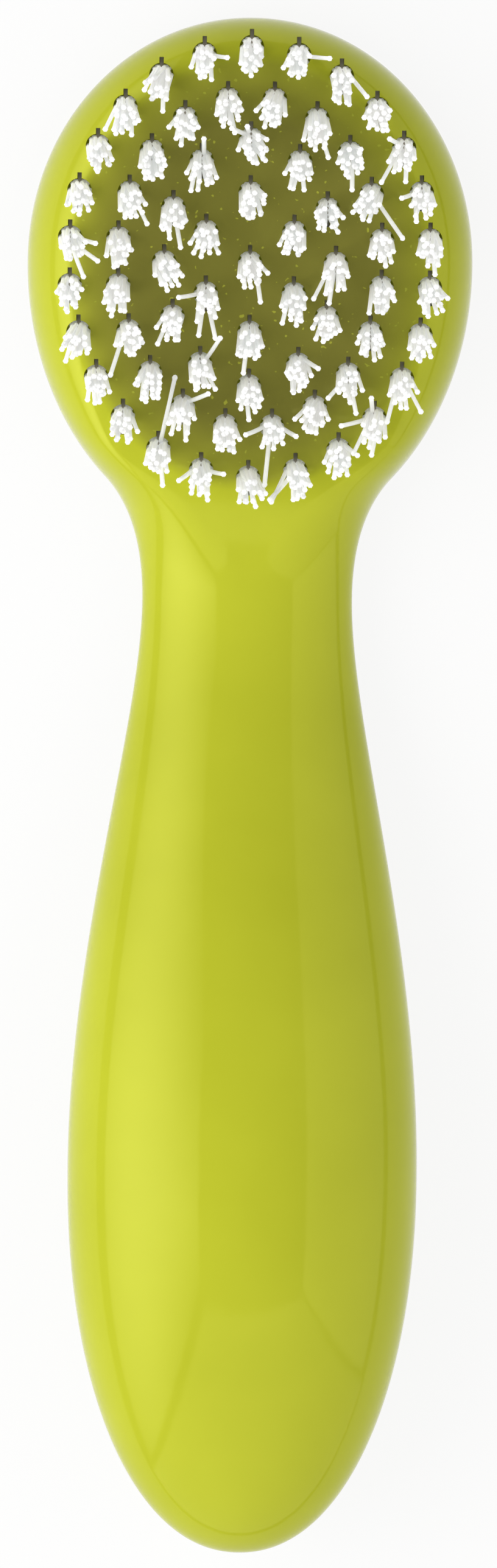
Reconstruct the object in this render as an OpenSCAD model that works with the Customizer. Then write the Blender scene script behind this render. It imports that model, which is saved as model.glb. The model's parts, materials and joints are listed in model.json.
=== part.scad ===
// Hand brush with a moulded body and anchor-set nylon tufts.
//
// One solid moulding makes the oval head, the neck and the pear-shaped grip. The head is a low dome that
// a flat face cuts off, and that face holds an oval field of tufts. Each tuft is a bundle of nylon
// filaments folded round a flat metal anchor and driven into a blind hole, and the anchor's two ends
// bite into a slot at either side of that hole.
//
// Millimetres. Y runs along the brush with the head towards +Y, X runs across it, and the filaments
// point to +Z. The brush lies on its back on the plane Z = 0, with the origin under its middle.

/* [Head] */
// Width of the head at its widest line
head_w = 47.4; // [44:0.2:60]
// Length from the widest line to the tip of the head
head_tip_len = 26.2; // [25:0.2:34]
// Fullness of the head's round tip, where 2 is an ellipse
head_tip_full = 2.02; // [2:0.01:2.3]
// Half length of the head's oval on the side of the neck
head_heel_len = 29.8; // [27:0.2:36]
// Height of the flat tuft face above the table
face_z = 12; // [10.5:0.5:15]
// Height of the head's rim line above the table
head_rim_z = 4; // [3:0.5:6]
// Width of the rolled edge between the head's dome and the rim line, at the head's sides
edge_roll = 6; // [4:0.1:7]
// Width of that rolled edge at the tip
tip_roll = 5.2; // [3.8:0.1:7]
// Depth that the flat tuft face takes off the head's dome
face_cut = 0.2; // [0.1:0.05:0.4]

/* [Neck] */
// Width of the neck at its narrowest line
neck_w = 22.4; // [18:0.2:30]
// Thickness of the neck at its narrowest line
neck_thick = 9.9; // [8.5:0.1:10.1]
// Height of the neck's crown above its widest line
neck_crown = 6.2; // [4:0.1:7]
// How far the neck's crown lies below the tuft face
neck_drop = 1.8; // [1:0.1:2]
// Length over which the neck's crown rises to the head's dome
neck_rise = 17.5; // [13:0.5:20]
// How far beside the neck the fillet leaves the head's oval
neck_fillet = 4.1; // [2:0.1:6]
// Length over which that fillet runs out into the neck
neck_run = 8.7; // [5:0.1:14]

/* [Grip] */
// Distance from the narrowest line of the neck to the widest line of the grip
grip_from_neck = 60.6; // [50:0.2:80]
// Width of the grip at its widest line
grip_w = 37.2; // [30:0.2:46]
// Thickness of the grip at its widest line
grip_thick = 25; // [18:0.5:32]
// Length from the widest line of the grip to its round end
grip_end_len = 40.8; // [30:0.2:50]
// Fullness of that round end, where 2 is an ellipse
grip_end_full = 2.13; // [2:0.01:2.4]
// Length of the straight run that the grip's flank starts with
grip_sweep = 25; // [15:1:34]
// Length of the straight run that the neck's flank ends with
neck_sweep = 13.5; // [8:0.5:22]
// Depth that the flat resting lands take off the back of the grip and the head
rest_land = 0.35; // [0.2:0.05:0.8]

/* [Tuft field] */
// How far the middle of the tuft field lies from the head's widest line towards the tip
field_shift = 0.4; // [0:0.1:1]
// Tufts in each ring, from the outer ring inwards
ring_tufts = [26, 20, 12, 6]; // [4:2:30]
// Distance of each ring from the side of the head
side_inset = [4.5, 9.6, 14.6, 18.5]; // [4:0.1:20]
// Distance of each ring from the tip of the head
tip_inset = [3, 8.2, 12.7, 18.4]; // [2.8:0.1:21]
// Diameter of the blind holes
hole_d = 2.6; // [2:0.1:3]
// Depth of the blind holes
hole_depth = 6.4; // [5:0.2:8]

/* [Filaments] */
// Length of the filaments above the tuft face
trim_len = 9; // [6:0.5:14]
// Width of one strand, which stands for a few filaments
strand_w = 0.75; // [0.5:0.05:0.9]
// Angle that the outer strands spread outwards at their tips
strand_splay = 4; // [2:1:14]
// Angle that a whole tuft leans towards the handle at its tips
tuft_lean = 4.5; // [0:0.5:8]
// Gap between a tuft's root and the wall of its hole
tuft_clear = 0.05; // [0.02:0.01:0.1]

/* [Anchors] */
// Thickness of the flat anchor
anchor_t = 0.4; // [0.3:0.05:0.7]
// Height of the flat anchor
anchor_h = 1.6; // [1:0.1:2.4]
// Length of anchor that bites into the body on each side of the hole
anchor_bite = 0.6; // [0.3:0.05:0.7]
// Height of the anchor above the bottom of the hole
anchor_seat = 1.2; // [0.8:0.1:1.8]
// Gap between an anchor and what lies beside and above it
anchor_clear = 0.03; // [0.02:0.01:0.08]

/* [Hidden] */
ring_names = ["outer", "third", "second", "inner"];
// Rings that start on the centre line have phase 0, and one that straddles it has phase 0.5
ring_phase = [0, 0.5, 0, 0];
rings = len(ring_tufts);

body_colour = [0.71, 0.74, 0.19];
nylon_colour = [0.95, 0.95, 0.94];
anchor_colour = [0.62, 0.60, 0.55];

// Sides of a body section, and stations along each stretch of the body
sides = 56;
cap_stations = 15;
sweep_stations = 20;
fillet_stations = 6;
heel_stations = 10;

// Extra length of a cut, so that it passes its surface
over = 1;
// Sides of the round holes and roots
round_sides = 48;

// Lines along the length
head_half = head_w / 2;
neck_half = neck_w / 2;
heel_angle = acos((neck_half + neck_fillet) / head_half);
heel_flare = head_half * sin(heel_angle) / (head_heel_len * cos(heel_angle));
fillet_start = head_heel_len * sin(heel_angle);
fillet_corner = fillet_start + neck_fillet / heel_flare;
neck_from_head = fillet_corner + neck_run;
length = head_tip_len + neck_from_head + grip_from_neck + grip_end_len;
y_head = length / 2 - head_tip_len;
y_neck = y_head - neck_from_head;
y_grip = y_neck - grip_from_neck;
y_dome = y_neck + neck_rise;
y_field = y_head + field_shift;

// Sections of the body: half width, rim height, crown above the rim, belly below it, share of roll
neck_top = face_z - neck_drop;
head_section = [head_half, head_rim_z, face_z + face_cut - head_rim_z, head_rim_z + rest_land,
                edge_roll / head_half];
neck_section = [neck_half, neck_top - neck_crown, neck_crown, neck_thick - neck_crown, 1];
grip_section = [grip_w / 2, grip_thick / 2, grip_thick / 2, grip_thick / 2 + rest_land, 1];

// Places of the tufts and their roots
hole_floor = face_z - hole_depth;
anchor_z = hole_floor + anchor_seat;
slot_len = hole_d + 2 * anchor_bite;
root_d = hole_d - 2 * tuft_clear;
// Turn from one tuft to the next, so that no two neighbours look alike
tuft_turn = 137.5;
outer_strands = 6;
strand_root_r = root_d / 2 - strand_w / 2 - tuft_clear;
strand_sink = 0.6;
strand_sides = 3;
// Share of the trimmed length at each level of a strand
strand_levels = [0, 0.45, 1];
// Power by which a strand's bend grows with its height
strand_bend = 1.5;
// Step in degrees by which the length round a ring is measured
walk_step = 2;

function mix(a, b, t) = a + (b - a) * t;
function clamp(t) = max(0, min(1, t));
function smooth(t) = t * t * (3 - 2 * t);
function bezier2(a, b, c, t) = mix(mix(a, b, t), mix(b, c, t), t);
function bezier3(a, b, c, d, t) = mix(bezier2(a, b, c, t), bezier2(b, c, d, t), t);
function with_half(section, half) = [half, section[1], section[2], section[3], section[4]];

// A station is its place along Y, how far it lies into a rounded end, from 0 to 1, and its section
function cap_station(y0, run, section, full, end_roll, turn) =
    let (narrow = pow(cos(turn), 2 / full), into = sqrt(1 - narrow * narrow))
    [y0 + run * pow(sin(turn), 2 / full), into,
     [section[0] * narrow, section[1], section[2], section[3], mix(section[4], end_roll, into * into)]];

function sweep_station(t) =
    [bezier3(y_grip, y_grip + grip_sweep, y_neck - neck_sweep, y_neck, t), 0,
     mix(grip_section, neck_section, smooth(t))];

// Between neck and head the width follows the outline, and the rest blends into the head's section
function heel_station(half, y) =
    let (blend = smooth(clamp((y - y_neck) / (y_dome - y_neck))))
    [y, 0, with_half(mix(neck_section, head_section, blend), half)];

function fillet_station(t) =
    heel_station(bezier2(neck_half, neck_half, neck_half + neck_fillet, t),
                 y_head - bezier2(neck_from_head, fillet_corner, fillet_start, t));

function oval_station(turn) = heel_station(head_half * cos(turn), y_head - head_heel_len * sin(turn));

stations = concat(
    [for (i = [cap_stations - 1 : -1 : 1])
        cap_station(y_grip, -grip_end_len, grip_section, grip_end_full, 1, 90 * i / cap_stations)],
    [for (i = [0 : sweep_stations - 1]) sweep_station(i / sweep_stations)],
    [for (i = [0 : fillet_stations - 1]) fillet_station(i / fillet_stations)],
    [for (i = [0 : heel_stations - 1]) oval_station(heel_angle * (1 - i / heel_stations))],
    [for (i = [0 : cap_stations - 1])
        cap_station(y_head, head_tip_len, head_section, head_tip_full, tip_roll / head_tip_len,
                    90 * i / cap_stations)]
);

// Height of a rounded edge as a share of its full height: flat inside, a quarter ellipse over the roll
function roll_height(out, roll) = sqrt(1 - pow(clamp((out - 1 + roll) / roll), 2));

function section_point(st, v) =
    let (into = st[1], s = st[2])
    let (out = sqrt(into * into + (1 - into * into) * pow(cos(v), 2)))
    let (rise = sin(v) >= 0 ? s[2] * roll_height(out, s[4]) : -s[3] * roll_height(out, 1))
    [s[0] * cos(v), st[0], s[1] + rise];

// Even spacing along an oval ring: arc length from its tip against angle
function ring_at(r, turn) =
    [(head_half - side_inset[r]) * sin(turn),
     (head_tip_len - field_shift - tip_inset[r]) * cos(turn)];

function ring_walk(r) =
    [for (turn = 0, run = 0;
          turn <= 360;
          run = run + norm(ring_at(r, turn + walk_step) - ring_at(r, turn)), turn = turn + walk_step)
        [run, turn]];

walks = [for (r = [0 : rings - 1]) ring_walk(r)];

function tuft_place(r, i) =
    let (walk = walks[r], round_run = walk[len(walk) - 1][0])
    [0, y_field] + ring_at(r, lookup(round_run * (i + ring_phase[r]) / ring_tufts[r], walk));

// A row is a tuft and its mirror image across the centre line, or a lone tuft that lies on it
function row_count(r) = ring_phase[r] == 0 ? floor(ring_tufts[r] / 2) + 1 : ceil(ring_tufts[r] / 2);
function row_mate(r, row) =
    ring_phase[r] == 0 ? (ring_tufts[r] - row) % ring_tufts[r] : ring_tufts[r] - 1 - row;
function row_members(r, row) = row_mate(r, row) == row ? [row] : [row, row_mate(r, row)];
function row_name(r, row) = str("tufts_", ring_names[r], row < 9 ? "_0" : "_", row + 1);
function anchor_name(r) = str("anchors_", ring_names[r]);

// The body is lofted through its stations and closed by a point at each end
module body_loft() {
    n = len(stations);
    ring_points = [for (st = stations) for (j = [0 : sides - 1]) section_point(st, 360 * j / sides)];
    ends = [[0, -length / 2, grip_section[1]], [0, length / 2, head_section[1]]];
    skin = [for (i = [0 : n - 2]) for (j = [0 : sides - 1])
        let (a = i * sides + j, b = i * sides + (j + 1) % sides)
        each [[a, b, b + sides], [a, b + sides, a + sides]]];
    last = (n - 1) * sides;
    caps = [for (j = [0 : sides - 1])
        let (k = (j + 1) % sides)
        each [[n * sides, k, j], [n * sides + 1, last + j, last + k]]];
    polyhedron(points = concat(ring_points, ends), faces = concat(skin, caps), convexity = 6);
}

// Blind hole and the slot that the anchor's ends cut into its two sides
module tuft_socket() {
    translate([0, 0, hole_floor])
        cylinder(d = hole_d, h = hole_depth + over, $fn = round_sides);
    translate([-anchor_t / 2 - anchor_clear, -slot_len / 2, anchor_z])
        cube([anchor_t + 2 * anchor_clear, slot_len, face_z - anchor_z + over]);
}

module at_every_tuft() {
    translate([0, y_field])
        children();
    for (r = [0 : rings - 1])
        for (i = [0 : ring_tufts[r] - 1])
            translate(tuft_place(r, i))
                children();
}

module handle_body() {
    color(body_colour)
        difference() {
            difference() {
                body_loft();
                translate([-head_w, y_neck, face_z])
                    cube([2 * head_w, length, grip_thick]);
                translate([-head_w - grip_w, -length, -grip_thick])
                    cube([2 * (head_w + grip_w), 2 * length, grip_thick]);
            }
            at_every_tuft()
                tuft_socket();
        }
}

// Strand of three sides that bends outwards and towards the handle as it rises
module strand(root_r, turn) {
    splay = root_r > 0 ? trim_len * tan(strand_splay) : 0;
    lean = trim_len * tan(tuft_lean);
    points = [for (s = strand_levels) for (j = [0 : strand_sides - 1])
        let (bend = pow(s, strand_bend), r = root_r + splay * bend, v = turn + 360 * j / strand_sides)
        [r * cos(turn) + strand_w / 2 * cos(v),
         r * sin(turn) + strand_w / 2 * sin(v) - lean * bend,
         face_z - strand_sink + (trim_len + strand_sink) * s]];
    top = strand_sides * (len(strand_levels) - 1);
    flanks = [for (i = [0 : len(strand_levels) - 2]) for (j = [0 : strand_sides - 1])
        let (a = i * strand_sides + j, b = i * strand_sides + (j + 1) % strand_sides)
        each [[a, a + strand_sides, b + strand_sides], [a, b + strand_sides, b]]];
    foot = [for (j = [0 : strand_sides - 1]) j];
    tip = [for (j = [strand_sides - 1 : -1 : 0]) top + j];
    polyhedron(points = points, faces = concat(flanks, [foot, tip]));
}

// Tuft: its bound root fills the hole, with a window through which the anchor passes
module tuft(turn) {
    color(nylon_colour)
        union() {
            difference() {
                translate([0, 0, hole_floor])
                    cylinder(d = root_d, h = hole_depth, $fn = round_sides);
                translate([-anchor_t / 2 - anchor_clear, -hole_d, anchor_z])
                    cube([anchor_t + 2 * anchor_clear, 2 * hole_d, anchor_h + anchor_clear]);
            }
            strand(0, turn);
            for (k = [0 : outer_strands - 1])
                strand(strand_root_r, turn + 360 * k / outer_strands);
        }
}

module tuft_centre() {
    translate([0, y_field])
        tuft(0);
}

module tuft_row(r, row) {
    for (i = row_members(r, row))
        translate(tuft_place(r, i))
            tuft(tuft_turn * (i + r));
}

module anchor() {
    color(anchor_colour)
        translate([-anchor_t / 2, -slot_len / 2 + anchor_clear, anchor_z])
            cube([anchor_t, slot_len - 2 * anchor_clear, anchor_h]);
}

module anchor_centre() {
    translate([0, y_field])
        anchor();
}

module anchor_ring(r) {
    for (i = [0 : ring_tufts[r] - 1])
        translate(tuft_place(r, i))
            anchor();
}

handle_body();
tuft_centre();
anchor_centre();
for (r = [0 : rings - 1])
    anchor_ring(r);
for (r = [0 : rings - 1])
    for (row = [0 : row_count(r) - 1])
        tuft_row(r, row);
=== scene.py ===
# %% [markdown]
# # A grooming brush with nylon tufts
#
# The real brush has three kinds of piece: one glossy lime moulding that makes the head, the neck and the
# grip, 65 tufts of white nylon, and a flat metal anchor that holds each tuft in its hole. This lesson
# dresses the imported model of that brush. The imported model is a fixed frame: every new piece is worked out
# in the same place and at the same size, so nothing is fitted by eye afterwards.

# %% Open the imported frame
import json
import math

import bpy
import numpy as np
from mathutils import Matrix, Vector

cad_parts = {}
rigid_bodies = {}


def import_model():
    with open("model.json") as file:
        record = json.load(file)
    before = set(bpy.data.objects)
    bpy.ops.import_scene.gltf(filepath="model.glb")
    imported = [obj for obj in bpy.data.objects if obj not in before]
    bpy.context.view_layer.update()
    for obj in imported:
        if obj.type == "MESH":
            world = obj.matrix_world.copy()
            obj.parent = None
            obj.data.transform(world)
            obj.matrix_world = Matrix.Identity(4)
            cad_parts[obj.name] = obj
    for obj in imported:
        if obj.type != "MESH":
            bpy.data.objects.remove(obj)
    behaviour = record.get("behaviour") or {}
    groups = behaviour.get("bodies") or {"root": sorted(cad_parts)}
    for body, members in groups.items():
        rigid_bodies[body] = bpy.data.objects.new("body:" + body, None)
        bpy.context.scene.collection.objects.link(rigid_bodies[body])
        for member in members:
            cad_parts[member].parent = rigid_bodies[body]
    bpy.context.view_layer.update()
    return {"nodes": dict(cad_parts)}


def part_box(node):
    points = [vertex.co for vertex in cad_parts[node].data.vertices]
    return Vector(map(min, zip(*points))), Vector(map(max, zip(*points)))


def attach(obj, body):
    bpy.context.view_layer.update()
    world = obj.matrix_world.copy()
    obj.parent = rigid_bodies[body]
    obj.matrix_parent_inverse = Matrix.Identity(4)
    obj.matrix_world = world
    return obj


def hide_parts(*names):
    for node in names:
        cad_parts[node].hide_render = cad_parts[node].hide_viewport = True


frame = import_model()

MM = 0.001

# %% [markdown]
# ## Small helpers
#
# A mesh can be built by clicking, by operators or from arrays. Arrays are used here, because a brush is
# full of regular shapes: a grid of points and a rule that joins neighbours give a clean surface with no
# doubled points. Every piece is finished in the same way, so one helper puts the arrays into a mesh and
# another hangs the piece on the brush and hides the node that it stands for.

# %% From arrays to a piece


def grid_faces(rows, columns):
    """Quads between neighbouring rows of a grid whose columns close on themselves, corners anticlockwise
    when the columns run anticlockwise about the direction in which the rows go."""
    row = np.arange(rows - 1)[:, None] * columns
    here = np.arange(columns)[None, :]
    beside = (here + 1) % columns
    quads = np.stack([row + here, row + beside, row + columns + beside, row + columns + here], axis=-1)
    return quads.reshape(-1, 4)


def mesh_from_arrays(name, points, quads, triangles):
    """A mesh from points in millimetres and two face arrays, one of quads and one of triangles."""
    mesh = bpy.data.meshes.new(name)
    corners = np.concatenate([quads.ravel(), triangles.ravel()])
    sizes = np.concatenate([np.full(len(quads), 4), np.full(len(triangles), 3)])
    mesh.vertices.add(len(points))
    mesh.vertices.foreach_set("co", (points * MM).ravel())
    mesh.loops.add(len(corners))
    mesh.loops.foreach_set("vertex_index", corners)
    mesh.polygons.add(len(sizes))
    mesh.polygons.foreach_set("loop_start", np.concatenate([[0], np.cumsum(sizes)[:-1]]))
    mesh.update(calc_edges=True)
    mesh.validate()
    return mesh


def as_piece(mesh, material, slot, *nodes):
    """Shows a mesh as a piece that rides on the brush and stands for the named nodes."""
    piece = bpy.data.objects.new(mesh.name, mesh)
    bpy.context.scene.collection.objects.link(piece)
    mesh.materials.append(material)
    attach(piece, "root")
    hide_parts(*nodes)
    return piece


def mix(a, b, t):
    """The value a share t of the way from a to b."""
    return a + (b - a) * t


def smooth(t):
    """A share that leaves 0 and reaches 1 without a kink."""
    return t * t * (3 - 2 * t)


print("helpers ready")

# %% [markdown]
# ## The camera
#
# The brush lies on its back and is seen almost straight from above. The tufts give the angle away: their
# tips sit a little nearer the handle than their holes, so the camera leans a few degrees towards the head.
# A long lens from well away keeps both ends of the brush at the same scale. The picture is tall, so the
# lens is set by the height of the field that it covers.

# %% Camera
VIEW_LEAN = math.radians(4.5)
VIEW_ROLL = math.radians(0.5)
VIEW_DISTANCE = 1400
FIELD_H = 167.4
VIEW_CENTRE = (0.32, 0.05, 6)
SENSOR_LONG = 36

camera_data = bpy.data.cameras.new("camera")
camera_data.sensor_fit = "AUTO"
camera_data.sensor_width = SENSOR_LONG
camera_data.lens = SENSOR_LONG * VIEW_DISTANCE / FIELD_H
camera = bpy.data.objects.new("camera", camera_data)
bpy.context.scene.collection.objects.link(camera)
turned = Matrix.Rotation(-VIEW_LEAN, 4, "X") @ Matrix.Rotation(VIEW_ROLL, 4, "Z")
back_off = turned @ Matrix.Translation((0, 0, VIEW_DISTANCE * MM))
camera.matrix_world = Matrix.Translation([c * MM for c in VIEW_CENTRE]) @ back_off
bpy.context.scene.camera = camera
bpy.context.scene.view_settings.view_transform = "Standard"
print("lens in mm:", round(camera_data.lens, 1))

# %% [markdown]
# ## Node helpers and colours
#
# A material is a small tree of nodes. Building one node takes a line for the node and a line for each of
# its inputs, so a helper does both: an input that is given another node's output is linked, and one that
# is given a number or a colour is set on the socket itself. Colours are written as they look on a screen
# and turned into the linear light that the renderer works with.

# %% Node helpers


def screen_colour(red, green, blue):
    """Linear RGBA of a colour given as it looks on a screen, from 0 to 255."""
    c = np.array([red, green, blue]) / 255
    linear = np.where(c <= 0.04045, c / 12.92, ((c + 0.055) / 1.055) ** 2.4)
    return (*linear.tolist(), 1)


def add_node(tree, kind, settings=(), **inputs):
    """Adds a node. Settings are its own properties; inputs name sockets with _ for a space."""
    node = tree.nodes.new(kind)
    for name, value in dict(settings).items():
        setattr(node, name, value)
    for name, value in inputs.items():
        socket = node.inputs[name.replace("_", " ")]
        if isinstance(value, bpy.types.NodeSocket):
            tree.links.new(value, socket)
        else:
            socket.default_value = value
    return node


def new_material(name):
    """An empty material with its output, ready for a shader."""
    material = bpy.data.materials.new(name)
    material.use_nodes = True
    tree = material.node_tree
    tree.nodes.clear()
    return material, tree, tree.nodes.new("ShaderNodeOutputMaterial")


def combine(tree, operation, first, second):
    """Output of a sum, a product or the larger of two outputs."""
    node = add_node(tree, "ShaderNodeMath", {"operation": operation})
    tree.links.new(first, node.inputs[0])
    tree.links.new(second, node.inputs[1])
    return node.outputs[0]


def mix_shaders(tree, share, first, second):
    """A node that mixes two shader nodes by a share."""
    node = add_node(tree, "ShaderNodeMixShader", Fac=share)
    tree.links.new(first.outputs[0], node.inputs[1])
    tree.links.new(second.outputs[0], node.inputs[2])
    return node


print("the middle grey of a screen in linear light:", round(screen_colour(128, 128, 128)[0], 3))

# %% [markdown]
# ## Floor and light
#
# The gloss on the grip mirrors the studio: a bright wall on the left, a dimmer one farther off on the
# right, a wall behind the handle, dark lines where two of them leave a gap, and an open top through which
# the camera looks. That is a light tent, so a tent is built. Lamps could stand in for it, but a lamp is one
# flat brightness, and the left wall fades towards all its edges. The walls are plain sheets that glow, with
# the glow of each point kept in an attribute. The gaps between them widen upwards, and the wall behind the
# handle hangs lower than the others. The walls are hidden from the camera itself, so that they never stand
# in the way of a view. The floor is pale and takes the shadow. Where the camera or a reflection looks at
# it, most of its white is its own light, so that it stays white without more light on the brush.

# %% Floor
FLOOR_SIZE = 8000
FLOOR_DROP = 0.2
FLOOR_GLOW = 0.88
FLOOR_WHITE = screen_colour(232, 232, 230)


def floor_paper():
    """Pale paper that glows to the camera and to reflections, and is plain paper to all other light."""
    material, tree, output = new_material("floor_paper")
    path = add_node(tree, "ShaderNodeLightPath").outputs
    seen = combine(tree, "MAXIMUM", path["Is Camera Ray"], path["Is Glossy Ray"])
    seen = combine(tree, "MAXIMUM", seen, path["Is Transmission Ray"])
    plain = add_node(tree, "ShaderNodeBsdfDiffuse", Color=FLOOR_WHITE)
    glow = add_node(tree, "ShaderNodeEmission", Strength=1.0)
    bright = mix_shaders(tree, FLOOR_GLOW, plain, glow)
    chosen = mix_shaders(tree, seen, plain, bright)
    tree.links.new(chosen.outputs[0], output.inputs["Surface"])
    return material


far, low = FLOOR_SIZE / 2, -FLOOR_DROP
floor_points = np.array([[-far, -far, low], [far, -far, low], [far, far, low], [-far, far, low]])
floor_mesh = mesh_from_arrays("floor", floor_points, np.array([[0, 1, 2, 3]]), np.zeros((0, 3), int))
floor_mesh.materials.append(floor_paper())
floor = bpy.data.objects.new("floor", floor_mesh)
bpy.context.scene.collection.objects.link(floor)
print("floor side in m:", FLOOR_SIZE * MM)

# %% Sizes of the light tent
# Heights of the feet and of the open top, and how far out the walls stand at foot and top
FOOT_Z, BACK_FOOT_Z, TOP_Z = 45, 26, 1100
LEFT_FOOT, LEFT_TOP = -165, -385
RIGHT_FOOT, RIGHT_TOP = 333, 627
BACK_FOOT, BACK_TOP = -205, -400
LEFT_FRONT, RIGHT_FRONT = 450, 1000
# Gaps between a side wall and the back wall at foot and top
LEFT_SEAM, RIGHT_SEAM = (6, 45), (6, 10)
# Glow at the edges and in the middle, and the shares of it that are left at the back and at the front
LEFT_EDGES, LEFT_MIDDLE, LEFT_FADES = (1.5, 1.65), 4.6, (0.4, 0.25)
RIGHT_EDGES, RIGHT_MIDDLE, RIGHT_FADES = (1.05, 1.25), 1.35, (1, 0.7)
BACK_GLOW = (1.3, 0.95)
BACK_FADE_LEN = 150
WALL_STEPS = 24
ROOM_LIGHT = 0.15
print("tent height in m:", TOP_Z * MM, "width at the foot:", (RIGHT_FOOT - LEFT_FOOT) * MM)

# %% Walls of the light tent


def wall_cloth():
    """Cloth that shines as strongly as the glow attribute says, where 1 shows as white."""
    material, tree, output = new_material("wall_cloth")
    glow = add_node(tree, "ShaderNodeAttribute", {"attribute_name": "glow"}).outputs["Fac"]
    shine = add_node(tree, "ShaderNodeEmission", Strength=glow)
    tree.links.new(shine.outputs[0], output.inputs["Surface"])
    return material


def wall_levels(foot, top):
    """Shares of a wall's height at about even angles as the brush sees them. A direction's run for each
    unit of height is its slope, and the share is where a leaning wall with a side wall's foot has it."""
    low, high = math.atan2(abs(foot), FOOT_Z), math.atan2(abs(top), TOP_Z)
    slope = np.tan(np.linspace(low, high, WALL_STEPS))
    return (abs(foot) - FOOT_Z * slope) / ((TOP_Z - FOOT_Z) * slope - abs(top) + abs(foot))


def tent_wall(name, lines, glow):
    """A sheet through lines of points, with a glow for each point."""
    points = np.stack([np.stack(line, axis=1) for line in lines], axis=1)
    count = len(lines)
    corner = np.arange(WALL_STEPS * count).reshape(-1, count)[:-1, :-1].reshape(-1, 1)
    quads = corner + np.array([[0, 1, count + 1, count]])
    mesh = mesh_from_arrays(name, points.reshape(-1, 3), quads, np.zeros((0, 3), int))
    mesh.materials.append(cloth)
    mesh.attributes.new("glow", "FLOAT", "POINT").data.foreach_set("value", glow.ravel())
    wall = bpy.data.objects.new(name, mesh)
    bpy.context.scene.collection.objects.link(wall)
    wall.visible_camera = False


def side_wall(name, foot, top, front, seam, edges, middle, fades):
    """A wall along the brush. From foot to top its glow swells as half a sine wave, from the first edge's
    to the middle's and down to the second edge's. At the back and the front it fades to shares of that."""
    share = wall_levels(foot, top)
    x, z = mix(foot, top, share), mix(FOOT_Z, TOP_Z, share)
    step = np.linspace(0, 1, WALL_STEPS)
    edge = mix(edges[0], edges[1], step)
    glow = np.outer(edge + (middle - edge) * np.sin(np.pi * step), [fades[0], 1, fades[1]])
    back = mix(BACK_FOOT, BACK_TOP, share) + mix(*seam, share)
    lines = [(x, y, z) for y in (back, back + BACK_FADE_LEN, np.full(WALL_STEPS, front))]
    tent_wall(name, lines, glow)


def back_wall(name, glow):
    """The wall behind the handle, between the two side walls, with a glow for each of its ends."""
    share = wall_levels(BACK_FOOT, BACK_TOP)
    y, z = mix(BACK_FOOT, BACK_TOP, share), mix(BACK_FOOT_Z, TOP_Z, share)
    left = mix(LEFT_FOOT, LEFT_TOP, share) + mix(*LEFT_SEAM, share)
    right = mix(RIGHT_FOOT, RIGHT_TOP, share) - mix(*RIGHT_SEAM, share)
    tent_wall(name, [(left, y, z), (right, y, z)], np.tile(glow, WALL_STEPS))


cloth = wall_cloth()
left_glow = LEFT_EDGES, LEFT_MIDDLE, LEFT_FADES
right_glow = RIGHT_EDGES, RIGHT_MIDDLE, RIGHT_FADES
side_wall("wall_left", LEFT_FOOT, LEFT_TOP, LEFT_FRONT, LEFT_SEAM, *left_glow)
side_wall("wall_right", RIGHT_FOOT, RIGHT_TOP, RIGHT_FRONT, RIGHT_SEAM, *right_glow)
back_wall("wall_behind", BACK_GLOW)
world = bpy.data.worlds.new("room")
bpy.context.scene.world = world
world.use_nodes = True
sky = world.node_tree.nodes["Background"].inputs
sky["Color"].default_value = (1, 1, 1, 1)
sky["Strength"].default_value = ROOM_LIGHT

# %% [markdown]
# ## The moulded body
#
# The body is one moulding with no seam: an oval head with a flat face and a rolled edge, a narrow neck and
# a pear-shaped grip. It could be carved with a subdivision cage, but its outline is made of a few plain
# curves, so it is lofted instead. Every station along the length has a half width, the height of its rim,
# a crown above and a belly below the rim, and the share of its width that rolls over at the edge. A roll
# of 1 is a full half round, as on the grip. A small roll leaves the middle flat, as on the head. The
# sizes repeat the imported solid's own, and the overall ones are read from the frame.

# %% Sizes of the body
body_low, body_high = (np.array(corner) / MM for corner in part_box("handle_body"))
LENGTH = body_high[1] - body_low[1]
HEAD_HALF = body_high[0]
GRIP_THICK = body_high[2] - body_low[2]
HEAD_TIP_LEN = 26.2
HEAD_TIP_FULL = 2.02
HEAD_HEEL_LEN = 29.8
FACE_Z = 12
FACE_CUT = 0.2
HEAD_RIM_Z = 4
EDGE_ROLL = 6
TIP_ROLL = 5.2
NECK_HALF = 11.2
NECK_THICK = 9.9
NECK_CROWN = 6.2
NECK_DROP = 1.8
NECK_RISE = 17.5
NECK_FILLET = 4.1
NECK_RUN = 8.7
GRIP_FROM_NECK = 60.6
GRIP_HALF = 18.6
GRIP_END_LEN = 40.8
GRIP_END_FULL = 2.13
GRIP_SWEEP = 25
NECK_SWEEP = 13.5
REST_LAND = 0.35

heel_angle = math.acos((NECK_HALF + NECK_FILLET) / HEAD_HALF)
heel_flare = HEAD_HALF * math.tan(heel_angle) / HEAD_HEEL_LEN
fillet_start = HEAD_HEEL_LEN * math.sin(heel_angle)
fillet_corner = fillet_start + NECK_FILLET / heel_flare
neck_from_head = fillet_corner + NECK_RUN
y_head = LENGTH / 2 - HEAD_TIP_LEN
y_neck = y_head - neck_from_head
y_grip = y_neck - GRIP_FROM_NECK
neck_top = FACE_Z - NECK_DROP

# Half width, rim height, crown above the rim, belly below it, share of roll
head_crown = FACE_Z + FACE_CUT - HEAD_RIM_Z
head_belly = HEAD_RIM_Z + REST_LAND
head_section = np.array([HEAD_HALF, HEAD_RIM_Z, head_crown, head_belly, EDGE_ROLL / HEAD_HALF])
neck_section = np.array([NECK_HALF, neck_top - NECK_CROWN, NECK_CROWN, NECK_THICK - NECK_CROWN, 1])
grip_section = np.array([GRIP_HALF, GRIP_THICK / 2, GRIP_THICK / 2, GRIP_THICK / 2 + REST_LAND, 1])
end_gap = y_grip - GRIP_END_LEN + LENGTH / 2
print("length", round(LENGTH, 2), "end of grip at", round(end_gap, 3), "from the box")

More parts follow.
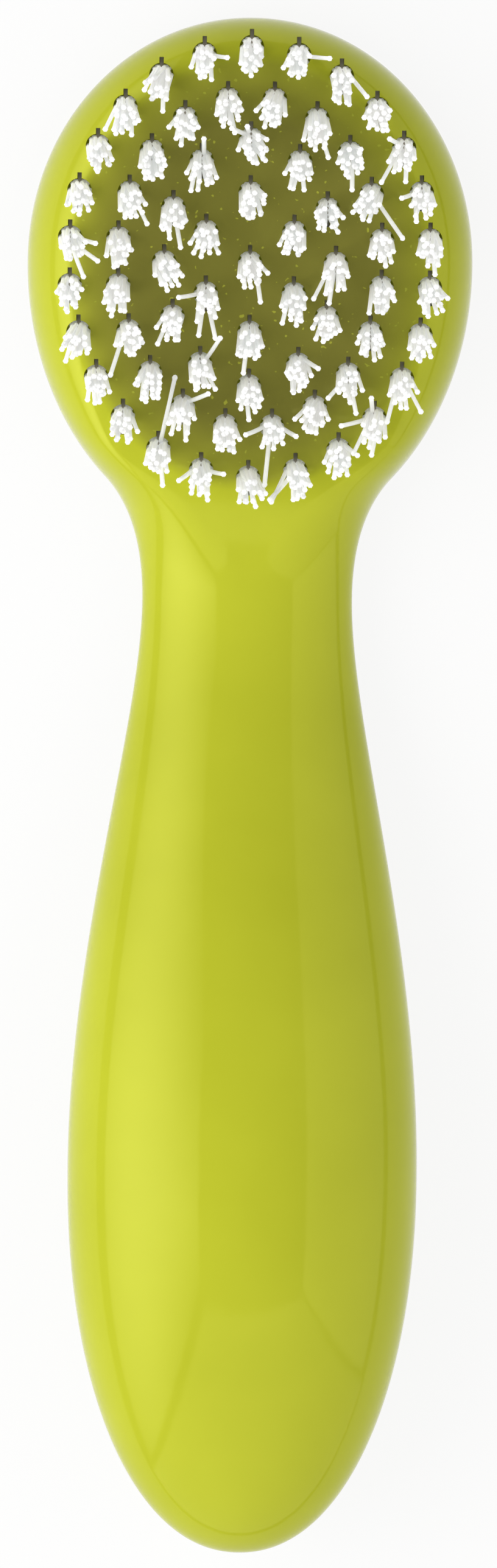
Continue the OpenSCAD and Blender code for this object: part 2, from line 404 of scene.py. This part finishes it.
# %% [markdown]
# The outline is worked out stretch by stretch: a quarter oval at each end, an S-shaped sweep from the grip
# to the neck, a short fillet, and the heel of the head's oval.

# %% Stations along the body
TIP_STEPS, END_STEPS, SWEEP_STEPS, FILLET_STEPS, HEEL_STEPS = 84, 48, 56, 22, 40


def bezier2(a, b, c, t):
    """Curve from a to c that heads for b: the mix of two mixes."""
    return mix(mix(a, b, t), mix(b, c, t), t)


def bezier3(a, b, c, d, t):
    """Curve from a to d that leaves towards b and arrives from c."""
    return mix(bezier2(a, b, c, t), bezier2(b, c, d, t), t)


def cap_stations(y0, run, section, full, end_roll, turn):
    """Rounded end: the place follows the sine of a turn and the half width its cosine, both to the power
    2 / full, so that 2 gives an ellipse and more gives a fuller end. The roll eases to the end's own."""
    narrow = np.cos(turn) ** (2 / full)
    into = np.sqrt(1 - narrow**2)
    rows = np.tile(section, (len(turn), 1))
    rows[:, 0] *= narrow
    rows[:, 4] = mix(rows[:, 4], end_roll, into**2)
    return y0 + run * np.sin(turn) ** (2 / full), into, rows


def sweep_stations(t):
    """Grip to neck: the place runs on a curve with a straight start and end, and the section eases over."""
    y = bezier3(y_grip, y_grip + GRIP_SWEEP, y_neck - NECK_SWEEP, y_neck, t)
    return y, np.zeros_like(t), mix(grip_section, neck_section, smooth(t)[:, None])


def heel_stations(half, y):
    """Neck to head: the half width is given, and the rest eases into the head's section before the tufts."""
    blend = smooth(np.clip((y - y_neck) / NECK_RISE, 0, 1))
    rows = mix(neck_section, head_section, blend[:, None])
    rows[:, 0] = half
    return y, np.zeros_like(y), rows


def body_stations():
    """All stretches in order from the end of the grip to the tip of the head, without the two end points."""
    tip_turn = np.linspace(0, np.pi / 2, TIP_STEPS, endpoint=False)
    end_turn = np.linspace(np.pi / 2, 0, END_STEPS, endpoint=False)[1:]
    share = np.linspace(0, 1, FILLET_STEPS, endpoint=False)
    turn = heel_angle * (1 - np.linspace(0, 1, HEEL_STEPS, endpoint=False))
    fillet_half = bezier2(NECK_HALF, NECK_HALF, NECK_HALF + NECK_FILLET, share)
    fillet_y = y_head - bezier2(neck_from_head, fillet_corner, fillet_start, share)
    stretches = [
        cap_stations(y_grip, -GRIP_END_LEN, grip_section, GRIP_END_FULL, 1, end_turn),
        sweep_stations(np.linspace(0, 1, SWEEP_STEPS, endpoint=False)),
        heel_stations(fillet_half, fillet_y),
        heel_stations(HEAD_HALF * np.cos(turn), y_head - HEAD_HEEL_LEN * np.sin(turn)),
        cap_stations(y_head, HEAD_TIP_LEN, head_section, HEAD_TIP_FULL, TIP_ROLL / HEAD_TIP_LEN, tip_turn),
    ]
    return [np.concatenate(column) for column in zip(*stretches)]


print("stations:", len(body_stations()[0]))

# %% The lofted skin
TOP_SIDES, UNDER_SIDES = 190, 90
BODY_SIDES = TOP_SIDES + UNDER_SIDES
FACE_SOFT = 0.1


def face_cut(z, y):
    """Heights cut off by the tuft face from the neck to the tip. A point's depth d below the face becomes
    half of d plus the root of d squared and a softness squared, which rounds the crease a little."""
    depth = FACE_Z - z
    cut = FACE_Z - (depth + np.sqrt(depth**2 + FACE_SOFT**2)) / 2
    return np.where(y >= y_neck, cut, z)


def body_points(y, into, section):
    """Grid of points, one row for each station. Across, x is the half width times the cosine of the turn v.
    How far out a point lies runs from 0 in the middle to 1 at the rim. The top is flat until the roll and
    then falls as a quarter ellipse, the underside is a half ellipse, and the back is cut flat at z = 0."""
    over = np.linspace(0, np.pi, TOP_SIDES, endpoint=False)
    below = np.linspace(np.pi, 2 * np.pi, UNDER_SIDES, endpoint=False)
    v = np.concatenate([over, below])[None, :]
    y = y[:, None]
    half, rim, crown, belly, roll = (column[:, None] for column in section.T)
    into = into[:, None]
    out = np.sqrt(np.minimum(into**2 + (1 - into**2) * np.cos(v) ** 2, 1))
    top = crown * np.sqrt(1 - np.clip((out - 1 + roll) / roll, 0, 1) ** 2)
    under = -belly * np.sqrt(1 - out**2)
    z = face_cut(rim + np.where(np.sin(v) >= 0, top, under), y)
    return np.stack([half * np.cos(v), np.broadcast_to(y, z.shape), np.maximum(z, 0)], axis=-1)


def body_mesh():
    """The loft, closed by a point at each end. Going round runs clockwise about +Y, so faces are turned."""
    grid = body_points(*body_stations())
    rows = len(grid)
    ends = np.array([[0, -LENGTH / 2, GRIP_THICK / 2], [0, LENGTH / 2, HEAD_RIM_Z]])
    points = np.concatenate([grid.reshape(-1, 3), ends])
    quads = grid_faces(rows, BODY_SIDES)[:, ::-1]
    here = np.arange(BODY_SIDES)
    beside = (here + 1) % BODY_SIDES
    last = (rows - 1) * BODY_SIDES
    foot = np.full(BODY_SIDES, rows * BODY_SIDES)
    start = np.stack([foot, here, beside], axis=1)
    finish = np.stack([foot + 1, last + beside, last + here], axis=1)
    return mesh_from_arrays("moulded_body", points, quads, np.concatenate([start, finish]))


blank = body_mesh()
print("skin faces:", len(blank.polygons))

# %% [markdown]
# ## Where the tufts stand
#
# The tufts stand in a centre and four oval rings of 6, 12, 20 and 26. On each ring they are evenly spaced
# along the oval, which isn't the same as even angles, so the ring is walked and its length shared out.
# A node of the frame holds a tuft and its mirror image across the middle, or a lone tuft on the middle.

# %% Rings of tufts
RING_NAMES = ["outer", "third", "second", "inner"]
RING_TUFTS = [26, 20, 12, 6]
RING_PHASE = [0, 0.5, 0, 0]
SIDE_INSET = [4.5, 9.6, 14.6, 18.5]
TIP_INSET = [3, 8.2, 12.7, 18.4]
FIELD_SHIFT = 0.4
WALK_STEPS = 181


def ring_places(ring):
    """Places on an oval: x is the sine and y the cosine of a turn, found where the walked length, from the
    tip round, is an equal share of the whole."""
    across = HEAD_HALF - SIDE_INSET[ring]
    along = HEAD_TIP_LEN - FIELD_SHIFT - TIP_INSET[ring]
    turn = np.linspace(0, 2 * np.pi, WALK_STEPS)
    steps = np.hypot(np.diff(across * np.sin(turn)), np.diff(along * np.cos(turn)))
    walked = np.concatenate([[0], np.cumsum(steps)])
    share = (np.arange(RING_TUFTS[ring]) + RING_PHASE[ring]) / RING_TUFTS[ring]
    at = np.interp(share * walked[-1], walked, turn)
    return np.stack([across * np.sin(at), y_field + along * np.cos(at)], axis=1)


y_field = y_head + FIELD_SHIFT
places = np.concatenate([[[0, y_field]]] + [ring_places(ring) for ring in range(len(RING_TUFTS))])
first_of_ring = np.cumsum([1] + RING_TUFTS)


def row_members(ring, row):
    """Indices of a tuft and its mate across the middle."""
    count = RING_TUFTS[ring]
    mate = (count - row) % count if RING_PHASE[ring] == 0 else count - 1 - row
    return sorted({first_of_ring[ring] + row, first_of_ring[ring] + mate})


anchor_box = np.array(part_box("anchors_outer")) / MM
outer_ring = places[first_of_ring[0]:first_of_ring[1]]
past_anchors = outer_ring.max(0) - anchor_box[1, :2]
print("tufts:", len(places), "ring against anchors in mm:", past_anchors.round(3))

# %% [markdown]
# ## Drilling the head
#
# A machine drills each hole and rams a folded bundle into it with a flat anchor, which is longer than the
# hole is wide. On its way in the anchor cuts a slot at two sides of the hole, and that slot is the dark
# notch above every tuft. So many holes are tedious to weave into a grid by hand, so the skin is drilled by
# two Boolean modifiers, one with all the round holes and one with all the slots.

# %% Holes and slots
HOLE_D = 2.6
HOLE_DEPTH = 6.4
ANCHOR_SEAT = 1.2
SLOT_W = 0.46
SLOT_LEN = 3.8
HOLE_SIDES = 40
CUT_OVER = 1
CREASE = math.radians(38)
hole_floor = FACE_Z - HOLE_DEPTH
anchor_z = hole_floor + ANCHOR_SEAT


def prisms(name, outline, low):
    """One upright prism at every tuft: the outline, anticlockwise, at the low level and above the face."""
    sides = len(outline)
    ring = (places[:, None, :] + outline[None, :, :])[:, None]
    levels = np.array([low, FACE_Z + CUT_OVER])[None, :, None, None]
    shape = (len(places), 2, sides)
    flat, height = np.broadcast_to(ring, (*shape, 2)), np.broadcast_to(levels, (*shape, 1))
    points = np.concatenate([flat, height], axis=-1)
    each = np.arange(len(places))[:, None, None] * 2 * sides
    walls = (each + grid_faces(2, sides)[None]).reshape(-1, 4)
    fan = np.stack([np.zeros(sides - 2, int), np.arange(1, sides - 1), np.arange(2, sides)], axis=1)
    lids = (each + np.concatenate([fan[:, ::-1], fan + sides])[None]).reshape(-1, 3)
    return mesh_from_arrays(name, points.reshape(-1, 3), walls, lids)


def drilled(mesh, cutters):
    """The mesh with each cutter taken away in turn, as a new mesh with smooth faces and sharp hole edges."""
    scene_objects = bpy.context.scene.collection.objects
    work = bpy.data.objects.new("work", mesh)
    scene_objects.link(work)
    tools = []
    for cutter in cutters:
        tool = bpy.data.objects.new(cutter.name, cutter)
        scene_objects.link(tool)
        tools.append(tool)
        cut = work.modifiers.new(cutter.name, "BOOLEAN")
        cut.operation = "DIFFERENCE"
        cut.solver = "EXACT"
        cut.object = tool
    depsgraph = bpy.context.evaluated_depsgraph_get()
    result = bpy.data.meshes.new_from_object(work.evaluated_get(depsgraph))
    for spent in [work, *tools]:
        bpy.data.objects.remove(spent)
    result.name = "drilled_body"
    result.shade_smooth()
    result.set_sharp_from_angle(angle=CREASE)
    return result


bore_turn = np.linspace(0, 2 * np.pi, HOLE_SIDES, endpoint=False)
bore = HOLE_D / 2 * np.stack([np.cos(bore_turn), np.sin(bore_turn)], axis=1)
slot = np.array([[-1, -1], [1, -1], [1, 1], [-1, 1]]) * [SLOT_W / 2, SLOT_LEN / 2]
skin = drilled(blank, [prisms("bores", bore, hole_floor), prisms("slots", slot, anchor_z)])
print("drilled faces:", len(skin.polygons))

# %% [markdown]
# ## Lime plastic
#
# The moulding is opaque, strongly coloured plastic straight from a polished tool, so it mirrors the walls
# of the tent. A single colour would look like paint. Real mouldings have a faint flow mottle in the colour,
# a slight unevenness in the gloss and a barely visible orange peel. The face between the tufts is painted
# a darker olive as the shade that the tufts cast on it, with a step at its crease and most of it in the
# middle, and specks of dust lie on it. A painted map could show all this, but noises at four scales and an
# oval for the face need no picture. They lie on the brush's own coordinates, so that they hold in every view.

# %% Tones and grains of the plastic
LIME_DEEP = screen_colour(171, 176, 41)
LIME_LIGHT = screen_colour(177, 182, 45)
DUST = screen_colour(198, 200, 72)
# Painted shade: a darker olive on the face between the tufts, where they shade it
SHADE_OLIVE = screen_colour(135, 132, 57)
# Half width, half length and middle of the oval of painted shade, and depths below the face with none and all
# of it
FACE_HALF_W, FACE_HALF_LEN = 19, 22.7
FACE_MID_Y = 55
SHADE_NONE_DEPTH, SHADE_ALL_DEPTH = 0.8, 0.3
# Shares of the oval's reach over which the painted shade steps up at the edge and deepens inside, and how
# much of it each of the two brings
EDGE_OUT, EDGE_IN, EDGE_SHADE = 1.03, 0.97, 0.4
FACE_OUT, FACE_IN, MIDDLE_SHADE = 1, 0.7, 0.6
# Values of a noise that count as none and as all of it
NOISE_LOW, NOISE_HIGH = 0.3, 0.7
FLOW_LOW, FLOW_HIGH = 0.35, 0.65
# Grains for each metre
FLOW_GRAIN, GLOSS_GRAIN, PEEL_GRAIN, GRIT_GRAIN = 45, 160, 650, 2200
SPECK_FROM, SPECK_FULL, SPECK_SHARE = 0.78, 0.82, 0.7
PEEL_STRENGTH, PEEL_DEPTH = 0.05, 0.0001
SMOOTHEST, ROUGHEST = 0.05, 0.09
PLASTIC_IOR = 1.42
SHINE_TINT = (1, 1, 0.3, 1)
# The oval is where the shade that the tufts cast is painted on the face
print("shade_painted oval in mm:", 2 * FACE_HALF_W, "by", 2 * FACE_HALF_LEN)

# %% Colour and noise helpers


def blend_colours(tree, share, first, second):
    """Colour output that mixes two colours by a share; either colour may be another node's output."""
    node = tree.nodes.new("ShaderNodeMix")
    node.data_type = "RGBA"
    for socket, value in zip((node.inputs[0], node.inputs[6], node.inputs[7]), (share, first, second)):
        if isinstance(value, bpy.types.NodeSocket):
            tree.links.new(value, socket)
        else:
            socket.default_value = value
    return node.outputs[2]


def in_range(tree, value, low, high, to_low, to_high):
    """Output that carries value from low..high over to to_low..to_high and stops at the ends."""
    node = add_node(tree, "ShaderNodeMapRange", Value=value, From_Min=low, From_Max=high)
    node.inputs["To Min"].default_value = to_low
    node.inputs["To Max"].default_value = to_high
    return node.outputs["Result"]


def noise(tree, where, grain, detail):
    """Output of a noise with so many grains for each metre and so many finer layers."""
    return add_node(tree, "ShaderNodeTexNoise", Vector=where, Scale=grain, Detail=detail).outputs["Fac"]


print("grains for each millimetre:", [g * MM for g in (FLOW_GRAIN, GLOSS_GRAIN, PEEL_GRAIN, GRIT_GRAIN)])

# %% Lime plastic


def painted_shade_share(tree, here):
    """Share of painted shade: none below the face or off its oval, some at its edge, all in the middle."""
    scale = [1 / (FACE_HALF_W * MM), 1 / (FACE_HALF_LEN * MM), 0]
    shift = [0, -FACE_MID_Y / FACE_HALF_LEN, 0]
    oval = add_node(tree, "ShaderNodeMapping", Vector=here, Location=shift, Scale=scale).outputs["Vector"]
    reach = add_node(tree, "ShaderNodeVectorMath", {"operation": "LENGTH"})
    tree.links.new(oval, reach.inputs[0])
    out = reach.outputs["Value"]
    edge = in_range(tree, out, EDGE_OUT, EDGE_IN, 0, EDGE_SHADE)
    middle = in_range(tree, out, FACE_OUT, FACE_IN, 0, MIDDLE_SHADE)
    up = add_node(tree, "ShaderNodeSeparateXYZ", Vector=here).outputs["Z"]
    on_top = in_range(tree, up, (FACE_Z - SHADE_NONE_DEPTH) * MM, (FACE_Z - SHADE_ALL_DEPTH) * MM, 0, 1)
    return combine(tree, "MULTIPLY", combine(tree, "ADD", edge, middle), on_top)


def lime_plastic():
    """Glossy lime: flow mottle, uneven gloss, orange peel, and painted shade and dust specks on the face."""
    material, tree, output = new_material("lime_plastic")
    here = add_node(tree, "ShaderNodeTexCoord").outputs["Object"]
    flow = noise(tree, here, FLOW_GRAIN, 3)
    gloss = noise(tree, here, GLOSS_GRAIN, 2)
    peel = noise(tree, here, PEEL_GRAIN, 1)
    grit = noise(tree, here, GRIT_GRAIN, 0)
    moulded = blend_colours(tree, in_range(tree, flow, FLOW_LOW, FLOW_HIGH, 0, 1), LIME_DEEP, LIME_LIGHT)
    face_shade = painted_shade_share(tree, here)
    # The face between the tufts is painted darker olive: painted shade standing for the shade of the tufts
    shaded_moulding = blend_colours(tree, face_shade, moulded, SHADE_OLIVE)
    specks = in_range(tree, grit, SPECK_FROM, SPECK_FULL, 0, SPECK_SHARE)
    shade_and_dust = blend_colours(tree, combine(tree, "MULTIPLY", specks, face_shade), shaded_moulding, DUST)
    ripple = add_node(tree, "ShaderNodeBump", Strength=PEEL_STRENGTH, Distance=PEEL_DEPTH, Height=peel)
    shader = add_node(
        tree,
        "ShaderNodeBsdfPrincipled",
        Base_Color=shade_and_dust,
        Roughness=in_range(tree, gloss, NOISE_LOW, NOISE_HIGH, SMOOTHEST, ROUGHEST),
        Normal=ripple.outputs["Normal"],
        IOR=PLASTIC_IOR,
        Specular_Tint=SHINE_TINT,
    )
    tree.links.new(shader.outputs[0], output.inputs["Surface"])
    return material


body = as_piece(skin, lime_plastic(), "body", "handle_body")
print("body:", body.name, "slots:", len(body.material_slots))

# %% [markdown]
# ## Nylon filaments
#
# A tuft is a bundle of ten filaments, laid side by side, folded over the anchor and pushed down, so twenty
# ends stand out of the hole. The ends are ground round into little beads. Use has pushed some of them
# aside, most towards the handle. A hair system could draw them, but it gives no closed solid that another
# program can read, so each filament is a six-sided tube along its own path: down one leg, round the anchor
# in a half circle, and up the other leg. How the ends lean is drawn at random, and a table adds the strays
# that stand out most.

# %% Sizes of a bundle
TRIM_LEN = 9
FILAMENT_R = 0.24
BEAD_R = 0.31
# Lengths from a tip at which its bead starts, is widest and turns in, and the share of its radius there
BEAD_START, BEAD_WIDE, BEAD_TURN = 0.6, 0.31, 0.07
TURN_SHARE = 0.6
# Places of ten filaments in one half of the hole, across and along, packed like a honeycomb
ROOTS = np.array([
    [0.24, -0.9], [0.24, -0.45], [0.24, 0], [0.24, 0.45], [0.24, 0.9],
    [0.66, -0.68], [0.66, -0.23], [0.66, 0.23], [0.66, 0.68], [1.02, 0],
])
# The bundles stand a little nearer the handle than the middles of their holes
ROOT_SHIFT = -0.1
FOLD_NEAR, FOLD_FAR = 0.52, 1.05
FOLD_LIFT = 0.25
FOLD_POINTS = 5
MOUTH_SHARE = 0.35
TUFT_LEAN = math.radians(-8)
TUFT_WANDER = math.radians(1.8)
TUFT_PART = math.radians(0.35)
SPREAD = np.radians([2.4, 3])
WANDER = np.radians([2, 2])
SAG = math.radians(3.5)
STRAY_SHARE = 0.025
STRAY_FROM, STRAY_TO = math.radians(8), math.radians(20)
STRAY_DROP = 0.8
LEAST_LEAN = 1e-6
SEED = 11
# Strays that stand out: number of the tuft, then lean and heading in degrees
STRAYS = np.array([
    [26, 14, 0], [2, 22, 0], [25, 26, 270], [28, 30, 288], [47, 16, 150], [47, 8, 102], [58, 18, 90],
    [30, 46, 306], [30, 16, 210], [57, 30, 282], [43, 26, 300], [21, 28, 330], [21, 32, 295], [21, 18, 354],
    [63, 18, 180], [63, 32, 262], [63, 36, 284], [54, 30, 60], [38, 24, 30], [16, 88, 78], [11, 26, 186],
    [11, 18, 96], [10, 26, 300], [36, 18, 192], [36, 16, 342], [36, 52, 264], [34, 20, 222], [34, 28, 282],
    [15, 14, 204], [15, 14, 6], [13, 28, 222], [6, 12, 186], [5, 12, 144],
])
# Share of the trimmed length at each ring of a leg, the tube's radius there, and its share of the beads'
# whiter colour, a highlight painted where the ends catch the light
bead_levels = [1 - length / TRIM_LEN for length in (BEAD_START, BEAD_WIDE, BEAD_TURN)]
LEG_LEVELS = np.array([0, 0.3, 0.6, *bead_levels, 1])
LEG_RADII = np.array([*[FILAMENT_R] * 4, BEAD_R, TURN_SHARE * BEAD_R, 0])
LEG_BEAD = np.array([0, 0, 0, 0, 1, 1, 1])

rng = np.random.default_rng(SEED)
folds = len(ROOTS)
root_reach = np.linalg.norm(ROOTS, axis=1).max()
fold_r = np.interp(ROOTS[:, 0], [ROOTS[0, 0], root_reach], [FOLD_NEAR, FOLD_FAR])
mouth = np.stack([ROOTS, ROOTS * [-1, 1]], axis=1)
print("ends in a tuft:", 2 * folds, "named strays:", len(STRAYS))

# %% Paths of the filaments


def heading_vectors(heading):
    """Unit vectors that point along headings, with their parts along a new last axis."""
    return np.stack([np.cos(heading), np.sin(heading)], axis=-1)


def tip_tilts(tufts):
    """How far each leg tips over at its end, as a vector in radians: the lean of the whole tuft, outwards
    with its place in the bundle, apart from the other half, down by a sag that is larger on the handle's
    side, and a wander. A few legs at the edge get a push outwards and towards the handle."""
    shape = (tufts, folds, 2)
    place = mouth / root_reach
    tilt = SPREAD * place + rng.normal(0, WANDER, (*shape, 2))
    tilt = tilt + rng.normal(0, TUFT_WANDER, (tufts, 1, 1, 2))
    tilt[..., 0] += rng.exponential(TUFT_PART, (tufts, 1, 1)) * np.sign(place[..., 0])
    tilt[..., 1] += TUFT_LEAN - rng.exponential(SAG, shape) * (1 - place[..., 1]) / 2
    chance = STRAY_SHARE * np.linalg.norm(place, axis=-1)
    push = rng.uniform(STRAY_FROM, STRAY_TO, shape) * (rng.random(shape) < chance)
    return tilt + push[..., None] * (place + [0, -STRAY_DROP])


def bend_strays(tilt):
    """Tilts with the named strays laid over: in each named tuft the leg nearest the heading takes it."""
    bent = tilt.reshape(len(tilt), -1, 2)
    toward = heading_vectors(np.radians(STRAYS[:, 2]))
    leg = np.argmax(mouth.reshape(-1, 2) @ toward.T, axis=0)
    bent[STRAYS[:, 0], leg] = np.radians(STRAYS[:, 1:2]) * toward
    return bent.reshape(tilt.shape)


def leg_paths(tilt):
    """Centre lines above the face. The lean grows evenly from a share of the tip's lean at the mouth, so the
    sideways run is the integral of its sine and the height the integral of its cosine."""
    lean = np.linalg.norm(tilt, axis=-1, keepdims=True) + LEAST_LEAN
    start = MOUTH_SHARE * lean
    gain = lean - start
    run = TRIM_LEN * (np.cos(start) - np.cos(start + gain * LEG_LEVELS)) / gain
    rise = TRIM_LEN * (np.sin(start + gain * LEG_LEVELS) - np.sin(start)) / gain
    flat = mouth[None, :, :, None, :] + run[..., None] * (tilt / lean)[..., None, :]
    return np.concatenate([flat, FACE_Z + rise[..., None]], axis=-1)


def fold_paths():
    """Half circles round the underside of the anchor, from the first leg to the second."""
    turn = np.linspace(0, np.pi, FOLD_POINTS)
    x = fold_r[:, None] * np.cos(turn)
    z = anchor_z + FOLD_LIFT - fold_r[:, None] * np.sin(turn)
    return np.stack([x, np.repeat(ROOTS[:, 1:], len(turn), axis=1), z], axis=-1)


def filament_paths(spots):
    """Whole centre lines, tuft by tuft and filament by filament: tip, leg, fold, leg, tip."""
    legs = leg_paths(bend_strays(tip_tilts(len(spots))))
    bends = np.broadcast_to(fold_paths(), (len(spots), folds, FOLD_POINTS, 3))
    lines = np.concatenate([legs[:, :, 0, ::-1], bends, legs[:, :, 1]], axis=2)
    lines[..., :2] += spots[:, None, None, :] + [0, ROOT_SHIFT]
    return lines


lines = filament_paths(places)
radii = np.concatenate([LEG_RADII[::-1], np.full(FOLD_POINTS, FILAMENT_R), LEG_RADII])
bead_share = np.concatenate([LEG_BEAD[::-1], np.zeros(FOLD_POINTS), LEG_BEAD])
print("filaments:", lines.shape[0] * lines.shape[1], "points each:", lines.shape[2])

# %% Tubes along the paths
TUBE_SIDES = 6


def tube_points(line, radius):
    """Rings round centre lines. The ring's second direction is Y made square to the line, its first is
    square to both, and a point lies a radius out at equal turns."""
    along = np.gradient(line, axis=-2)
    along /= np.linalg.norm(along, axis=-1, keepdims=True)
    second = np.array([0.0, 1.0, 0.0]) - along * along[..., 1:2]
    second /= np.linalg.norm(second, axis=-1, keepdims=True)
    first = np.cross(second, along)
    turn = np.linspace(0, 2 * np.pi, TUBE_SIDES, endpoint=False)[:, None]
    around = np.cos(turn) * first[..., None, :] + np.sin(turn) * second[..., None, :]
    return line[..., None, :] + radius[:, None, None] * around


def tuft_mesh(name, members):
    """The tubes of some tufts as one mesh, each closed by a point at either tip. Two attributes hold a tone
    for each tube and where its beads are."""
    chosen = lines[members].reshape(-1, *lines.shape[2:])
    count = len(chosen)
    rings = chosen.shape[1] - 2
    skin_points = tube_points(chosen, radii)[:, 1:-1].reshape(count, -1, 3)
    points = np.concatenate([skin_points, chosen[:, [0, -1]]], axis=1)
    here = np.arange(TUBE_SIDES)
    beside = (here + 1) % TUBE_SIDES
    last = (rings - 1) * TUBE_SIDES
    tip = np.full(TUBE_SIDES, rings * TUBE_SIDES)
    fans = np.concatenate([
        np.stack([tip, beside, here], axis=1),
        np.stack([tip + 1, last + here, last + beside], axis=1),
    ])
    offset = np.arange(count)[:, None, None] * points.shape[1]
    quads = (offset + grid_faces(rings, TUBE_SIDES)[None]).reshape(-1, 4)
    triangles = (offset + fans[None]).reshape(-1, 3)
    mesh = mesh_from_arrays(name, points.reshape(-1, 3), quads, triangles)
    mesh.shade_smooth()
    tone = mesh.attributes.new("tone", "FLOAT", "POINT")
    tone.data.foreach_set("value", np.repeat(rng.random(count), points.shape[1]))
    one_tube = np.append(np.repeat(bead_share[1:-1], TUBE_SIDES), [1, 1])
    mesh.attributes.new("bead", "FLOAT", "POINT").data.foreach_set("value", np.tile(one_tube, count))
    return mesh


print("faces of one filament:", len(grid_faces(len(radii) - 2, TUBE_SIDES)) + 2 * TUBE_SIDES)

# %% [markdown]
# ## Nylon
#
# Drawn nylon is a milky white with a soft gloss. Light goes a little way into it, and the filaments pass it
# on to each other, which keeps the shaded sides of a bundle pale. Following that light from one filament to
# the next would take a renderer very long, so light scatters just under the skin here, and a faint glow
# stands for the rest. Every filament has its own slight tone, and the beads are painted whiter, a painted
# highlight for the ends that catch the light most. Attributes of the mesh carry both.

# %% Nylon
NYLON_COOL = screen_colour(230, 232, 231)
NYLON_WARM = screen_colour(236, 235, 232)
# Painted highlight: the beads get a whiter colour, for ends that catch the light most
NYLON_LIT_BEAD = screen_colour(248, 248, 247)
NYLON_GLOW = 0.18
NYLON_GRAIN = 900
NYLON_SMOOTHEST, NYLON_ROUGHEST = 0.32, 0.45
NYLON_IOR = 1.53
SCATTER_DEPTH = 0.0015


def milky_nylon():
    """White nylon, a tone for each filament, highlights painted on beads, light scattered under the skin."""
    material, tree, output = new_material("milky_nylon")
    tone = add_node(tree, "ShaderNodeAttribute", {"attribute_name": "tone"}).outputs["Fac"]
    here = add_node(tree, "ShaderNodeTexCoord").outputs["Object"]
    cloud = noise(tree, here, NYLON_GRAIN, 1)
    side = blend_colours(tree, tone, NYLON_COOL, NYLON_WARM)
    bead = add_node(tree, "ShaderNodeAttribute", {"attribute_name": "bead"}).outputs["Fac"]
    # The beads are painted whiter, a painted highlight where the ends catch the light
    tone_and_lit_beads = blend_colours(tree, bead, side, NYLON_LIT_BEAD)
    shader = add_node(
        tree,
        "ShaderNodeBsdfPrincipled",
        Base_Color=tone_and_lit_beads,
        Roughness=in_range(tree, cloud, NOISE_LOW, NOISE_HIGH, NYLON_SMOOTHEST, NYLON_ROUGHEST),
        Subsurface_Weight=1.0,
        Subsurface_Scale=SCATTER_DEPTH,
        IOR=NYLON_IOR,
        Emission_Color=tone_and_lit_beads,
        Emission_Strength=NYLON_GLOW,
    )
    shader.inputs["Subsurface Radius"].default_value = (1, 1, 1)
    tree.links.new(shader.outputs[0], output.inputs["Surface"])
    return material


nylon = milky_nylon()
tufts = [as_piece(tuft_mesh("nylon_centre", [0]), nylon, "nylon", "tuft_centre")]
for ring, ring_name in enumerate(RING_NAMES):
    rows = [name for name in frame["nodes"] if name.startswith("tufts_" + ring_name)]
    for row in range(len(rows)):
        label = f"{ring_name}_{row + 1:02d}"
        mesh = tuft_mesh("nylon_" + label, row_members(ring, row))
        tufts.append(as_piece(mesh, nylon, "nylon", "tufts_" + label))
print("tuft pieces:", len(tufts), "faces:", sum(len(t.data.polygons) for t in tufts))

# %% [markdown]
# ## Anchors
#
# The anchors are short lengths of flat wire. Their shape in the frame is already right, so they stay, and
# only their finish changes: drawn steel has fine lines along its length, made by stretching a noise.

# %% Drawn steel
STEEL_DARK = screen_colour(150, 142, 128)
STEEL_LIGHT = screen_colour(192, 186, 174)
LINE_GRAIN = (9000, 300, 9000)
LINE_STRENGTH, LINE_DEPTH = 0.2, 0.00003
STEEL_SMOOTHEST, STEEL_ROUGHEST = 0.3, 0.5


def drawn_steel():
    """Dull flat wire with fine lines along Y."""
    material, tree, output = new_material("drawn_steel")
    here = add_node(tree, "ShaderNodeTexCoord").outputs["Object"]
    stretched = add_node(tree, "ShaderNodeMapping", Vector=here, Scale=LINE_GRAIN).outputs["Vector"]
    drawn = noise(tree, stretched, 1, 2)
    ridge = add_node(tree, "ShaderNodeBump", Strength=LINE_STRENGTH, Distance=LINE_DEPTH, Height=drawn)
    steel = blend_colours(tree, drawn, STEEL_DARK, STEEL_LIGHT)
    shader = add_node(
        tree,
        "ShaderNodeBsdfPrincipled",
        Base_Color=steel,
        Metallic=1.0,
        Roughness=in_range(tree, drawn, NOISE_LOW, NOISE_HIGH, STEEL_SMOOTHEST, STEEL_ROUGHEST),
        Normal=ridge.outputs["Normal"],
    )
    tree.links.new(shader.outputs[0], output.inputs["Surface"])
    return material


steel_wire = drawn_steel()
anchors = [frame["nodes"][name] for name in frame["nodes"] if name.startswith("anchor")]
for anchor in anchors:
    for place in anchor.material_slots:
        place.material = steel_wire
print("anchor groups:", len(anchors))
